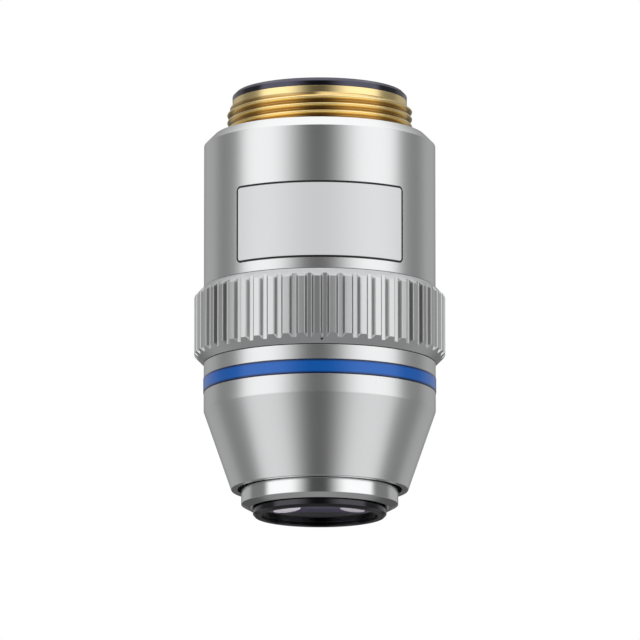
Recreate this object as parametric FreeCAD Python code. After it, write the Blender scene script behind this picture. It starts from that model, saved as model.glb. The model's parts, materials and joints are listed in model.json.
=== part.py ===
import FreeCAD, Part
import math
import os

# Objective lens with a standard screw thread, a fluted correction collar and a spring-loaded nose.
# The optical axis is Z. The thread is up, the front lens looks down, and the origin lies on the axis
# in the plane of the shoulder that meets the instrument. All sizes are in millimetres.
# The front of the object, where the name field is, faces -Y.

# Rear thread and shoulder
thread_diameter = 20.32
thread_length = 3.13
neck_above_thread = 0.34
relief_depth = 0.575
relief_length = 0.77
rear_wall = 1.285

# Black ring that closes the rear of the barrel
rear_ring_height = 0.95
rear_ring_bevel = 0.4
rear_ring_neck = 1.5
rear_ring_land = 1.8
spanner_slot_width = 1.0
spanner_slot_depth = 0.45

# Outer sleeves
sleeve_diameter = 25.4
sleeve_wall = 1.69
sleeve_chamfer = 1.1
sleeve_web = 2.0
upper_sleeve_length = 16.95
lower_sleeve_straight = 5.8
cone_length = 8.15
mouth_land = 0.67
band_offset = 1.65
band_height = 1.57
band_depth = 0.35
band_proud = 0.05

# Blank name field on the upper sleeve, a thin foil bent round it
label_end_gap = 1.17
label_height = 8.5
label_half_angle_deg = 45.25
label_corner = 0.4
label_thickness = 0.05

# Fluted collar
collar_length = 8.3
collar_step = 1.05
collar_chamfer = 1.0
flute_count = 50
flute_width = 1.05
flute_floor_width = 0.45
flute_depth = 0.4
flute_phase_deg = -87.6
key_groove_depth = 1.15

# Main barrel that carries the sleeves and the collar
barrel_wall = 1.05
barrel_engagement = 3.65
spring_seat_depth = 3.0

# Nose barrel, which slides in the main barrel
nose_wall = 1.63
nose_gap = 0.42
nose_face_below_mouth = 2.1
nose_face_slope_height = 0.5
nose_travel = 2.0
nose_rim_width = 0.92
nose_recess_depth = 0.7
nose_stop_below_barrel = 1.4
nose_rear_step = 0.58
nose_rear_wall = 1.3
nose_rear_room = 0.5
nose_web = 1.0
nose_seat_width = 1.1

# Cam ring, its pins and its slots
cam_wall = 1.22
cam_below_pin = 4.0
cam_above_pin = 4.95
cam_turn_deg = 60.0
cam_lead = 3.6
cam_lock_height = 1.8
drive_pin_diameter = 1.6
follower_pin_diameter = 1.5
guide_pin_diameter = 1.2
guide_pin_above_barrel_end = 1.0
guide_groove_depth = 0.9
drive_azimuth_deg = 90.0
follower_azimuth_deg = -90.0
guide_azimuth_deg = 0.0

# Return spring round the nose barrel
spring_wire = 1.0
spring_turns = 5.0

# Front cell with the two front lenses
front_ring_gap = 0.36
front_ring_width = 0.9
front_ring_height = 1.54
front_ring_bevel = 0.25
front_mouth_depth = 0.5
front_cell_wall = 0.63
front_lens_edge = 2.7
front_lens_hollow = 0.35
front_lens_crown = 0.9
cell_web = 1.0
second_lens_step = 0.1
second_lens_edge = 1.6
second_lens_hollow = 0.6
second_lens_crown = 0.9
front_cell_rim = 0.13

# Correction group and rear group
correction_length = 8.0
correction_wall = 0.69
correction_seat = 0.8
correction_end_room = 1.0
correction_flint_edge = 2.4
correction_crown_edge = 1.6
correction_cement_sag = 1.5
correction_flint_sag = 0.5
correction_crown_sag = 1.3
aperture_stop_thickness = 0.4
aperture_stop_width = 3.1
rear_spacer_length = 2.7
rear_flint_edge = 2.2
rear_crown_edge = 2.6
rear_cement_sag = 1.4
rear_flint_sag = 0.6
rear_crown_sag = 0.9
lens_seat_width = 0.6
lock_ring_height = 1.4
lock_ring_width = 0.8

# Clearances
running_clearance = 0.05
pin_clearance = 0.06
seat_clearance = 0.01
end_gap = 0.05
cam_outer_clearance = 0.1
slot_end_clearance = 0.1
cutter_overrun = 1.0

# Radii worked out from the sizes above, from the outside inwards
thread_radius = thread_diameter / 2
neck_radius = thread_radius + neck_above_thread
relief_radius = thread_radius - relief_depth
rear_bore_radius = relief_radius - rear_wall
rear_aperture_radius = rear_bore_radius - rear_ring_land
sleeve_radius = sleeve_diameter / 2
collar_radius = sleeve_radius + collar_step
barrel_radius = sleeve_radius - sleeve_wall - seat_clearance
barrel_bore_radius = barrel_radius - barrel_wall
collar_bore_radius = barrel_radius + running_clearance
key_groove_radius = collar_bore_radius + key_groove_depth
flange_radius = barrel_bore_radius - running_clearance
guide_groove_radius = flange_radius - guide_groove_depth
cam_outer_radius = barrel_bore_radius - cam_outer_clearance
cam_bore_radius = cam_outer_radius - cam_wall
nose_radius = cam_bore_radius - running_clearance
spring_mean_radius = (nose_radius + barrel_bore_radius) / 2
mouth_radius = nose_radius + nose_gap
cone_end_radius = mouth_radius + mouth_land
nose_bore_radius = nose_radius - nose_wall
nose_recess_radius = nose_radius - nose_rim_width
nose_rear_radius = nose_radius - nose_rear_step
nose_rear_bore_radius = nose_rear_radius - nose_rear_wall
nose_web_radius = nose_rear_bore_radius - nose_seat_width
front_ring_radius = nose_recess_radius - front_ring_gap
front_mouth_radius = front_ring_radius - front_ring_width
front_body_radius = nose_bore_radius - seat_clearance
front_lens_radius = front_body_radius - front_cell_wall - seat_clearance
second_lens_radius = front_lens_radius - second_lens_step
cell_web_radius = second_lens_radius - lens_seat_width
correction_radius = nose_bore_radius - running_clearance
correction_lens_radius = correction_radius - correction_wall - seat_clearance
rear_lens_radius = nose_rear_bore_radius - seat_clearance
aperture_stop_radius = rear_lens_radius - aperture_stop_width

# Heights along the axis, worked out from the sizes above
shoulder_z = 0.0
relief_z = shoulder_z + thread_length
rear_ring_z = relief_z + relief_length
rear_top_z = rear_ring_z + rear_ring_height
barrel_shoulder_z = shoulder_z - sleeve_web
spring_top_z = shoulder_z - spring_seat_depth
upper_sleeve_end_z = shoulder_z - upper_sleeve_length
collar_top_z = upper_sleeve_end_z - end_gap
collar_bottom_z = collar_top_z - collar_length
lower_sleeve_top_z = collar_bottom_z - end_gap
band_top_z = lower_sleeve_top_z - band_offset
band_bottom_z = band_top_z - band_height
barrel_end_z = lower_sleeve_top_z - barrel_engagement
nose_stop_z = barrel_end_z - nose_stop_below_barrel
cone_start_z = lower_sleeve_top_z - lower_sleeve_straight
mouth_z = cone_start_z - cone_length
nose_face_z = mouth_z - nose_face_below_mouth
front_seat_z = nose_face_z + nose_recess_depth
front_face_z = front_seat_z - front_ring_height
front_rim_z = front_face_z + front_mouth_depth
pin_z = (collar_top_z + collar_bottom_z - nose_travel) / 2
cam_bottom_z = pin_z - cam_below_pin
cam_top_z = pin_z + cam_above_pin
flange_top_z = cam_bottom_z - end_gap
cam_lock_z = cam_top_z + end_gap
spring_bottom_z = cam_lock_z + cam_lock_height
nose_top_z = spring_top_z - nose_travel - nose_rear_room
correction_bottom_z = pin_z - correction_length / 2
correction_top_z = pin_z + correction_length / 2
cam_travel = cam_lead * cam_turn_deg / 360.0
nose_web_z = correction_top_z + cam_travel + correction_end_room
rear_seat_z = nose_web_z + nose_web


def outline_face(outline):
    """Flat face in the XZ plane from the (radius, height) points of its corners."""
    corners = [FreeCAD.Vector(radius, 0, height) for radius, height in outline]
    return Part.Face(Part.makePolygon(corners + corners[:1]))


def turned(outline):
    """Solid of revolution from a closed outline of (radius, height) points."""
    return outline_face(outline).revolve(FreeCAD.Vector(0, 0, 0), FreeCAD.Vector(0, 0, 1), 360)


def tube(inner, outer, low, high):
    """Plain ring between two radii and two heights."""
    return turned([(inner, low), (outer, low), (outer, high), (inner, high)])


def radial_pin(diameter, inner, outer, height, azimuth_deg):
    """Round pin that points outwards from the axis."""
    turn = math.radians(azimuth_deg)
    outward = FreeCAD.Vector(math.cos(turn), math.sin(turn), 0)
    foot = outward * inner + FreeCAD.Vector(0, 0, height)
    return Part.makeCylinder(diameter / 2, outer - inner, foot, outward)


def radial_block(width, inner, outer, low, high, azimuth_deg):
    """Rectangular block that points outwards from the axis, for straight slots and grooves."""
    corner = FreeCAD.Vector(inner, -width / 2, low)
    block = Part.makeBox(outer - inner, width, high - low, corner)
    block.rotate(FreeCAD.Vector(0, 0, 0), FreeCAD.Vector(0, 0, 1), azimuth_deg)
    return block


def arc_window(inner, outer, low, high, azimuth_deg, half_deg, corner):
    """Cutter for a window that runs part of the way round a barrel, with rounded corners."""
    section = outline_face([(inner, low), (outer, low), (outer, high), (inner, high)])
    section.rotate(FreeCAD.Vector(0, 0, 0), FreeCAD.Vector(0, 0, 1), azimuth_deg - half_deg)
    cutter = section.revolve(FreeCAD.Vector(0, 0, 0), FreeCAD.Vector(0, 0, 1), 2 * half_deg)
    ends = [edge for edge in cutter.Edges if is_radial(edge)]
    return cutter.makeFillet(corner, ends)


def is_radial(edge):
    """True for a straight, level edge, which here is one that points away from the axis."""
    start = edge.valueAt(edge.FirstParameter)
    end = edge.valueAt(edge.LastParameter)
    straight = isinstance(edge.Curve, Part.Line)
    return straight and abs(start.z - end.z) < 1e-6


def arc_to(start, end, sag):
    """Arc from a point on the axis to a rim point; the point on the axis is higher by the sag."""
    rim_radius = end[0]
    ball_radius = (rim_radius**2 + sag**2) / (2 * abs(sag))
    half_angle = math.asin(rim_radius / ball_radius) / 2
    drop = math.copysign(ball_radius * (1 - math.cos(half_angle)), sag)
    middle = FreeCAD.Vector(ball_radius * math.sin(half_angle), 0, start[1] - drop)
    first = FreeCAD.Vector(start[0], 0, start[1])
    last = FreeCAD.Vector(rim_radius, 0, end[1])
    return Part.Arc(first, middle, last).toShape()


def lens(radius, rim_low, rim_high, low_sag, high_sag):
    """Lens between two rim heights; a positive sag raises its face at the axis."""
    low_axis = (0.0, rim_low + low_sag)
    high_axis = (0.0, rim_high + high_sag)
    low_face = arc_to(low_axis, (radius, rim_low), low_sag)
    high_face = arc_to(high_axis, (radius, rim_high), high_sag)
    edge = Part.makeLine(FreeCAD.Vector(radius, 0, rim_low), FreeCAD.Vector(radius, 0, rim_high))
    axis = Part.makeLine(FreeCAD.Vector(0, 0, low_axis[1]), FreeCAD.Vector(0, 0, high_axis[1]))
    outline = Part.Wire(Part.__sortEdges__([low_face, edge, high_face, axis]))
    return Part.Face(outline).revolve(FreeCAD.Vector(0, 0, 0), FreeCAD.Vector(0, 0, 1), 360)


def rise_at(lens_radius, crown, radius):
    """Height of a bulging lens face above its rim, at a radius from the axis."""
    ball_radius = (lens_radius**2 + crown**2) / (2 * crown)
    return math.sqrt(ball_radius**2 - radius**2) - (ball_radius - crown)


def lock_ring(outer, low):
    """Threaded ring that holds a lens down, with two spanner slots across its upper face."""
    ring = tube(outer - lock_ring_width, outer, low, low + lock_ring_height)
    return ring.cut(spanner_slots(outer, low + lock_ring_height))


def spanner_slots(outer, top):
    """Cutter for two opposite spanner slots in the upper face of a ring."""
    length = 2 * (outer + cutter_overrun)
    corner = FreeCAD.Vector(-length / 2, -spanner_slot_width / 2, top - spanner_slot_depth)
    return Part.makeBox(length, spanner_slot_width, spanner_slot_depth + cutter_overrun, corner)


def make_main_barrel():
    """Brass barrel with the rear thread; the collar's drive pin passes through its window."""
    barrel = turned([
        (rear_bore_radius, spring_top_z),
        (rear_bore_radius, rear_ring_z),
        (relief_radius, rear_ring_z),
        (relief_radius, relief_z),
        (thread_radius, relief_z),
        (thread_radius, shoulder_z),
        (neck_radius, shoulder_z),
        (neck_radius, barrel_shoulder_z),
        (barrel_radius, barrel_shoulder_z),
        (barrel_radius, barrel_end_z),
        (barrel_bore_radius, barrel_end_z),
        (barrel_bore_radius, spring_top_z),
    ])
    pin_half = drive_pin_diameter / 2 + slot_end_clearance
    half_deg = cam_turn_deg + math.degrees(pin_half / barrel_bore_radius)
    window = arc_window(
        barrel_bore_radius - cutter_overrun,
        barrel_radius + cutter_overrun,
        pin_z - pin_half,
        pin_z + nose_travel + pin_half,
        drive_azimuth_deg,
        half_deg,
        drive_pin_diameter / 2,
    )
    guide_hole = radial_pin(
        guide_pin_diameter,
        barrel_bore_radius - cutter_overrun,
        barrel_radius + cutter_overrun,
        barrel_end_z + guide_pin_above_barrel_end,
        guide_azimuth_deg,
    )
    return barrel.cut(window).cut(guide_hole)


def make_rear_ring():
    """Black ring that closes the rear, with a neck down into the barrel's bore."""
    ring = turned([
        (rear_aperture_radius, rear_ring_z - rear_ring_neck),
        (rear_bore_radius - seat_clearance, rear_ring_z - rear_ring_neck),
        (rear_bore_radius - seat_clearance, rear_ring_z),
        (relief_radius, rear_ring_z),
        (relief_radius, rear_top_z - rear_ring_bevel),
        (relief_radius - rear_ring_bevel, rear_top_z),
        (rear_aperture_radius, rear_top_z),
    ])
    return ring.cut(spanner_slots(relief_radius, rear_top_z))


def make_upper_sleeve():
    """Chromed sleeve whose web seats on the barrel's shoulder and gives the mounting face."""
    return turned([
        (neck_radius + seat_clearance, barrel_shoulder_z),
        (neck_radius + seat_clearance, shoulder_z),
        (sleeve_radius - sleeve_chamfer, shoulder_z),
        (sleeve_radius, shoulder_z - sleeve_chamfer),
        (sleeve_radius, upper_sleeve_end_z),
        (barrel_radius + seat_clearance, upper_sleeve_end_z),
        (barrel_radius + seat_clearance, barrel_shoulder_z),
    ])


def make_label():
    """Blank foil bent round the front of the upper sleeve."""
    low = upper_sleeve_end_z + label_end_gap
    high = low + label_height
    half_width = sleeve_radius * math.sin(math.radians(label_half_angle_deg))
    foil = tube(sleeve_radius, sleeve_radius + label_thickness, low, high)
    corner = FreeCAD.Vector(-half_width, -sleeve_radius - cutter_overrun, low)
    plate = Part.makeBox(2 * half_width, sleeve_radius, label_height, corner)
    uprights = [edge for edge in plate.Edges if abs(edge.tangentAt(edge.FirstParameter).y) > 0.9]
    return foil.common(plate.makeFillet(label_corner, uprights))


def make_lower_sleeve():
    """Chromed sleeve that narrows to the mouth; its inner ledge stops the nose."""
    return turned([
        (mouth_radius, mouth_z),
        (cone_end_radius, mouth_z),
        (sleeve_radius, cone_start_z),
        (sleeve_radius, band_bottom_z),
        (sleeve_radius - band_depth, band_bottom_z),
        (sleeve_radius - band_depth, band_top_z),
        (sleeve_radius, band_top_z),
        (sleeve_radius, lower_sleeve_top_z),
        (barrel_radius + seat_clearance, lower_sleeve_top_z),
        (barrel_radius + seat_clearance, barrel_end_z),
        (barrel_bore_radius, barrel_end_z),
        (barrel_bore_radius, nose_stop_z),
        (mouth_radius, nose_stop_z),
    ])


def make_colour_band():
    """Blue enamel that fills the groove round the lower sleeve."""
    return tube(sleeve_radius - band_depth, sleeve_radius + band_proud, band_bottom_z, band_top_z)


def make_guide_pin():
    """Pin in the barrel's wall that keeps the nose from turning."""
    height = barrel_end_z + guide_pin_above_barrel_end
    inner = guide_groove_radius + slot_end_clearance
    pin = radial_pin(guide_pin_diameter, inner, barrel_radius + cutter_overrun, height, guide_azimuth_deg)
    return pin.common(tube(inner - cutter_overrun, barrel_radius, barrel_end_z, lower_sleeve_top_z))


def flute_cutter():
    """Tapered bar that cuts one flute along the collar, at azimuth 0."""
    slope = (flute_width - flute_floor_width) / 2 / flute_depth
    outer = collar_radius + flute_depth
    outer_half = flute_width / 2 + flute_depth * slope
    floor = collar_radius - flute_depth
    low = collar_bottom_z - cutter_overrun
    section = Part.makePolygon([
        FreeCAD.Vector(floor, -flute_floor_width / 2, low),
        FreeCAD.Vector(outer, -outer_half, low),
        FreeCAD.Vector(outer, outer_half, low),
        FreeCAD.Vector(floor, flute_floor_width / 2, low),
        FreeCAD.Vector(floor, -flute_floor_width / 2, low),
    ])
    return Part.Face(section).extrude(FreeCAD.Vector(0, 0, collar_length + 2 * cutter_overrun))


def make_collar():
    """Fluted correction collar; a groove along its bore takes the drive pin."""
    collar = turned([
        (collar_bore_radius, collar_bottom_z),
        (collar_radius - collar_chamfer, collar_bottom_z),
        (collar_radius, collar_bottom_z + collar_chamfer),
        (collar_radius, collar_top_z - collar_chamfer),
        (collar_radius - collar_chamfer, collar_top_z),
        (collar_bore_radius, collar_top_z),
    ])
    flutes = []
    for index in range(flute_count):
        flute = flute_cutter()
        turn = flute_phase_deg + index * 360.0 / flute_count
        flute.rotate(FreeCAD.Vector(0, 0, 0), FreeCAD.Vector(0, 0, 1), turn)
        flutes.append(flute)
    key_groove = radial_block(
        drive_pin_diameter + 2 * pin_clearance,
        collar_bore_radius - cutter_overrun,
        key_groove_radius,
        collar_bottom_z - cutter_overrun,
        collar_top_z + cutter_overrun,
        drive_azimuth_deg,
    )
    return collar.cut(Part.makeCompound(flutes)).cut(key_groove)


def make_nose_barrel():
    """Inner barrel with a coned front face, a guide flange and seats for every lens cell."""
    nose = turned([
        (nose_recess_radius, nose_face_z),
        (nose_radius, nose_face_z + nose_face_slope_height),
        (nose_radius, nose_stop_z),
        (flange_radius, nose_stop_z),
        (flange_radius, flange_top_z),
        (nose_radius, flange_top_z),
        (nose_radius, spring_bottom_z),
        (nose_rear_radius, spring_bottom_z),
        (nose_rear_radius, nose_top_z),
        (nose_rear_bore_radius, nose_top_z),
        (nose_rear_bore_radius, rear_seat_z),
        (nose_web_radius, rear_seat_z),
        (nose_web_radius, nose_web_z),
        (nose_bore_radius, nose_web_z),
        (nose_bore_radius, front_seat_z),
        (nose_recess_radius, front_seat_z),
    ])
    half_slot = cam_travel + follower_pin_diameter / 2 + slot_end_clearance
    follower_slot = radial_block(
        follower_pin_diameter + 2 * pin_clearance,
        nose_bore_radius - cutter_overrun,
        nose_radius + cutter_overrun,
        pin_z - half_slot,
        pin_z + half_slot,
        follower_azimuth_deg,
    )
    guide_groove = radial_block(
        guide_pin_diameter + 2 * pin_clearance,
        guide_groove_radius,
        flange_radius + cutter_overrun,
        nose_stop_z - cutter_overrun,
        flange_top_z + cutter_overrun,
        guide_azimuth_deg,
    )
    return nose.cut(follower_slot).cut(guide_groove)


def make_cam_lock_ring():
    """Ring screwed on the nose barrel; it keeps the cam ring down and the spring bears on it."""
    return tube(nose_radius + seat_clearance, flange_radius, cam_lock_z, spring_bottom_z)


def make_return_spring():
    """Coil spring with ground ends that pushes the nose out."""
    length = spring_top_z - spring_bottom_z
    path = Part.makeHelix(length / spring_turns, length, spring_mean_radius)
    start = FreeCAD.Vector(spring_mean_radius, 0, 0)
    section = Part.Wire(Part.makeCircle(spring_wire / 2, start, FreeCAD.Vector(0, 1, 0)))
    coil = Part.Wire(path.Edges).makePipeShell([section], True, True)
    coil.translate(FreeCAD.Vector(0, 0, spring_bottom_z))
    room = tube(
        spring_mean_radius - spring_wire,
        spring_mean_radius + spring_wire,
        spring_bottom_z,
        spring_top_z,
    )
    return coil.common(room)


def helical_slot():
    """Cutters for the cam ring's sloping slot and for the drilled holes at its ends."""
    width = follower_pin_diameter + 2 * pin_clearance
    end_width = width + 2 * slot_end_clearance
    inner = cam_bore_radius - cutter_overrun
    outer = cam_outer_radius + cutter_overrun
    middle = (inner + outer) / 2
    rise = 2 * cam_travel
    path = Part.makeHelix(cam_lead, rise, middle)
    section = Part.makePolygon([
        FreeCAD.Vector(inner, 0, -width / 2),
        FreeCAD.Vector(outer, 0, -width / 2),
        FreeCAD.Vector(outer, 0, width / 2),
        FreeCAD.Vector(inner, 0, width / 2),
        FreeCAD.Vector(inner, 0, -width / 2),
    ])
    slot = Part.Wire(path.Edges).makePipeShell([section], True, True)
    slot.translate(FreeCAD.Vector(0, 0, pin_z - cam_travel))
    first_deg = follower_azimuth_deg - cam_turn_deg
    last_deg = follower_azimuth_deg + cam_turn_deg
    slot.rotate(FreeCAD.Vector(0, 0, 0), FreeCAD.Vector(0, 0, 1), first_deg)
    ends = [
        radial_pin(end_width, inner, outer, pin_z - cam_travel, first_deg),
        radial_pin(end_width, inner, outer, pin_z + cam_travel, last_deg),
    ]
    return [slot] + ends


def make_cam_ring():
    """Ring round the nose barrel; the collar turns it and its sloping slot moves the correction group."""
    ring = tube(cam_bore_radius, cam_outer_radius, cam_bottom_z, cam_top_z)
    for cutter in helical_slot():
        ring = ring.cut(cutter)
    drive_hole = radial_pin(
        drive_pin_diameter,
        cam_bore_radius - cutter_overrun,
        cam_outer_radius + cutter_overrun,
        pin_z,
        drive_azimuth_deg,
    )
    return ring.cut(drive_hole)


def make_drive_pin():
    """Pin from the cam ring out into the collar's groove."""
    inner = cam_bore_radius + slot_end_clearance
    outer = key_groove_radius - slot_end_clearance
    return radial_pin(drive_pin_diameter, inner, outer, pin_z, drive_azimuth_deg)


def make_correction_cell():
    """Sliding cell of the correction group, with a hole for the follower pin."""
    lens_bore = correction_lens_radius + seat_clearance
    opening = correction_lens_radius - lock_ring_width
    cell = turned([
        (opening, correction_bottom_z),
        (correction_radius, correction_bottom_z),
        (correction_radius, correction_top_z),
        (lens_bore, correction_top_z),
        (lens_bore, correction_bottom_z + correction_seat),
        (opening, correction_bottom_z + correction_seat),
    ])
    hole = radial_pin(
        follower_pin_diameter,
        lens_bore - cutter_overrun,
        correction_radius + cutter_overrun,
        pin_z,
        follower_azimuth_deg,
    )
    return cell.cut(hole)


def make_follower_pin():
    """Pin from the correction cell through the nose barrel's slot into the cam ring's slot."""
    inner = correction_lens_radius + slot_end_clearance
    outer = cam_outer_radius - slot_end_clearance
    return radial_pin(follower_pin_diameter, inner, outer, pin_z, follower_azimuth_deg)


def make_correction_glass():
    """Cemented pair of the correction group: the lower flint, the upper crown and their lock ring."""
    low = correction_bottom_z + correction_seat
    middle = low + correction_flint_edge
    high = middle + correction_crown_edge
    flint = lens(correction_lens_radius, low, middle, correction_flint_sag, -correction_cement_sag)
    crown = lens(correction_lens_radius, middle, high, -correction_cement_sag, correction_crown_sag)
    opening = correction_lens_radius - lock_ring_width
    seat = high + rise_at(correction_lens_radius, correction_crown_sag, opening)
    return flint, crown, lock_ring(correction_lens_radius, seat)


def front_web_z():
    """Height of the web in the front cell, whose edge the front lens touches with its back face."""
    back_rim_z = front_rim_z + front_lens_edge
    return back_rim_z + rise_at(front_lens_radius, front_lens_crown, cell_web_radius)


def second_rim_z():
    """Height of the second lens's lower rim, on the upper side of the web."""
    return front_web_z() + cell_web


def second_ring_z():
    """Height of the lock ring's lower face, where its inner edge touches the second lens."""
    opening = second_lens_radius - lock_ring_width
    return second_rim_z() + second_lens_edge + rise_at(second_lens_radius, second_lens_crown, opening)


def make_front_cell():
    """Black cell screwed into the nose; its flange is the ring round the front lens."""
    cell_top = second_ring_z() + lock_ring_height + front_cell_rim
    web_low = front_web_z()
    return turned([
        (front_mouth_radius, front_face_z),
        (front_ring_radius - front_ring_bevel, front_face_z),
        (front_ring_radius, front_face_z + front_ring_bevel),
        (front_ring_radius, front_seat_z),
        (front_body_radius, front_seat_z),
        (front_body_radius, cell_top),
        (second_lens_radius + seat_clearance, cell_top),
        (second_lens_radius + seat_clearance, web_low + cell_web),
        (cell_web_radius, web_low + cell_web),
        (cell_web_radius, web_low),
        (front_lens_radius + seat_clearance, web_low),
        (front_lens_radius + seat_clearance, front_rim_z),
        (front_mouth_radius, front_rim_z),
    ])


def make_front_glass():
    """The two front lenses and the lock ring behind them."""
    front_back_z = front_rim_z + front_lens_edge
    second_back_z = second_rim_z() + second_lens_edge
    front = lens(front_lens_radius, front_rim_z, front_back_z, front_lens_hollow, front_lens_crown)
    second = lens(second_lens_radius, second_rim_z(), second_back_z, second_lens_hollow, second_lens_crown)
    return front, second, lock_ring(second_lens_radius, second_ring_z())


def make_rear_group():
    """Aperture stop, spacer, cemented pair and lock ring in the rear bore of the nose barrel."""
    outer = rear_lens_radius
    spacer_low = rear_seat_z + aperture_stop_thickness
    low = spacer_low + rear_spacer_length
    middle = low + rear_flint_edge
    high = middle + rear_crown_edge
    seat = high + rise_at(outer, rear_crown_sag, outer - lock_ring_width)
    return {
        "aperture_stop": tube(aperture_stop_radius, outer, rear_seat_z, spacer_low),
        "rear_spacer": tube(nose_web_radius, outer, spacer_low, low),
        "rear_flint_lens": lens(outer, low, middle, rear_flint_sag, -rear_cement_sag),
        "rear_crown_lens": lens(outer, middle, high, -rear_cement_sag, rear_crown_sag),
        "rear_lock_ring": lock_ring(outer, seat),
    }


def all_nodes():
    """Every piece of the lens by its node name."""
    correction_flint, correction_crown, correction_ring = make_correction_glass()
    front_lens, second_lens, front_ring = make_front_glass()
    nodes = {
        "main_barrel": make_main_barrel(),
        "rear_ring": make_rear_ring(),
        "upper_sleeve": make_upper_sleeve(),
        "name_field": make_label(),
        "lower_sleeve": make_lower_sleeve(),
        "colour_band": make_colour_band(),
        "nose_guide_pin": make_guide_pin(),
        "fluted_collar": make_collar(),
        "nose_barrel": make_nose_barrel(),
        "cam_lock_ring": make_cam_lock_ring(),
        "return_spring": make_return_spring(),
        "front_cell": make_front_cell(),
        "front_lens": front_lens,
        "second_lens": second_lens,
        "front_lock_ring": front_ring,
        "cam_ring": make_cam_ring(),
        "drive_pin": make_drive_pin(),
        "correction_cell": make_correction_cell(),
        "correction_flint_lens": correction_flint,
        "correction_crown_lens": correction_crown,
        "correction_lock_ring": correction_ring,
        "follower_pin": make_follower_pin(),
    }
    nodes.update(make_rear_group())
    return nodes


os.makedirs("parts", exist_ok=True)
for name, shape in all_nodes().items():
    shape.exportStep(f"parts/{name}.step")
    print(f"{name}: {len(shape.Solids)} solid, valid {shape.isValid()}, {shape.Volume:.2f} cubic mm")
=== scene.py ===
# %% [markdown]
# This notebook dresses a microscope objective lens. The engineering model is loaded first as a fixed frame:
# every piece there has its real size and place, and knows which moving body carries it. The script then
# turns finer versions of the visible pieces, gives every surface its finish, and lights them as in a photo
# studio.

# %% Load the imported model
import json
import math

import bmesh
import bpy
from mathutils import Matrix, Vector

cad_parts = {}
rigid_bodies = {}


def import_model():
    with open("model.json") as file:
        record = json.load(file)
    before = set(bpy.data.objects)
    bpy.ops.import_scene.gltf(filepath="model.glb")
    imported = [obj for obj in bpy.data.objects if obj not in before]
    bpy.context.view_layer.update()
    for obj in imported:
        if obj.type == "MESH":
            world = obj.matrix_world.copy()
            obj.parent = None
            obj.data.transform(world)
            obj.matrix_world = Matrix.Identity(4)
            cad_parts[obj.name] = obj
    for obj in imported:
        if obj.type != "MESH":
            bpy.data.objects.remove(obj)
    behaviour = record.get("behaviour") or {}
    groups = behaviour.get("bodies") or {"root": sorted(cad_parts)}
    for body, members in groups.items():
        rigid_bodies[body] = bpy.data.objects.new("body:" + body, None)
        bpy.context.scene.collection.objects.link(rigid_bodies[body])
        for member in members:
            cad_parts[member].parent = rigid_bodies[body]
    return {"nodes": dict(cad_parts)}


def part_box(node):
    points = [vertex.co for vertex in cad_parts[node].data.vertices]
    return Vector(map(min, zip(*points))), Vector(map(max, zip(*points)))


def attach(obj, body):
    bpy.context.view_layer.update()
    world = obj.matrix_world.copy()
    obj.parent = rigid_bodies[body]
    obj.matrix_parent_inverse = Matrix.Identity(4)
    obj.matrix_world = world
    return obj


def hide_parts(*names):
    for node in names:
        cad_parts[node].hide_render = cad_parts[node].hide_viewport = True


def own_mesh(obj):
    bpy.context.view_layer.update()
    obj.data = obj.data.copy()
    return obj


for leftover in list(bpy.data.objects):
    bpy.data.objects.remove(leftover)
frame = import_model()
bpy.context.view_layer.update()

# %% [markdown]
# Blender works in metres, but a lens maker thinks in millimetres. The lens's own sizes are written in
# millimetres and multiplied by MM where a mesh or a lamp is made. Only the camera and the floor are written
# in metres. The outer size and the height of a piece come from the frame's boxes, so the dressed pieces sit
# exactly where the engineering model has them. Where a piece sits fast in a bore, the bore is wider by the
# slip.

# %% Read sizes from the frame
MM = 0.001
slip = 0.01


def top(node):
    """Height of the highest point of a node, in millimetres."""
    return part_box(node)[1].z / MM


def bottom(node):
    """Height of the lowest point of a node, in millimetres."""
    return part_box(node)[0].z / MM


def outer_radius(node):
    """Largest radius of a node about the optical axis, in millimetres."""
    low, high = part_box(node)
    return max(-low.x, -low.y, high.x, high.y) / MM


sleeve_radius = outer_radius("upper_sleeve")
barrel_radius = outer_radius("main_barrel")
collar_radius = outer_radius("fluted_collar")
print(f"sleeve radius {sleeve_radius:.2f} mm, collar radius {collar_radius:.2f} mm")

# %% [markdown]
# The camera stands a little below the lens and looks up at it by 10.5 degrees, as in the photograph. A long
# lens, far away, keeps the upright edges parallel. Its focal length follows from the distance and from the
# width of the view at the lens, so only real distances are written here. The Standard view shows the
# studio's white as plain white.

# %% Place the camera
camera_distance = 1.2
camera_elevation = math.radians(-10.5)
view_width = 0.0701
sensor_width = 36.0
aim = Vector((0.00003, 0.0, -0.02039))

camera_data = bpy.data.cameras.new("camera")
camera_data.sensor_width = sensor_width
camera_data.lens = sensor_width * camera_distance / view_width
camera_data.clip_start = 0.01
camera = bpy.data.objects.new("camera", camera_data)
backwards = Vector((0.0, -math.cos(camera_elevation), math.sin(camera_elevation)))
camera.location = aim + backwards * camera_distance
camera.rotation_mode = "QUATERNION"
camera.rotation_quaternion = (-backwards).to_track_quat("-Z", "Y")
bpy.context.scene.collection.objects.link(camera)
bpy.context.scene.camera = camera
bpy.context.scene.view_settings.view_transform = "Standard"
print(f"focal length {camera_data.lens:.0f} mm")

# %% [markdown]
# Studio, materials and the trees that shape pieces are all built from nodes, and a few short helpers keep
# that readable. The first joins a value or a socket to an input, and the second adds a node with its inputs
# filled. The others return what is often needed: a sum, a soft step between two limits, a mix, a length, or
# a vector.

# %% Node helpers


def join(tree, source, target):
    """Links a socket to an input, or sets a plain value on it."""
    if isinstance(source, bpy.types.NodeSocket):
        tree.links.new(source, target)
    else:
        target.default_value = source


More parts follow.
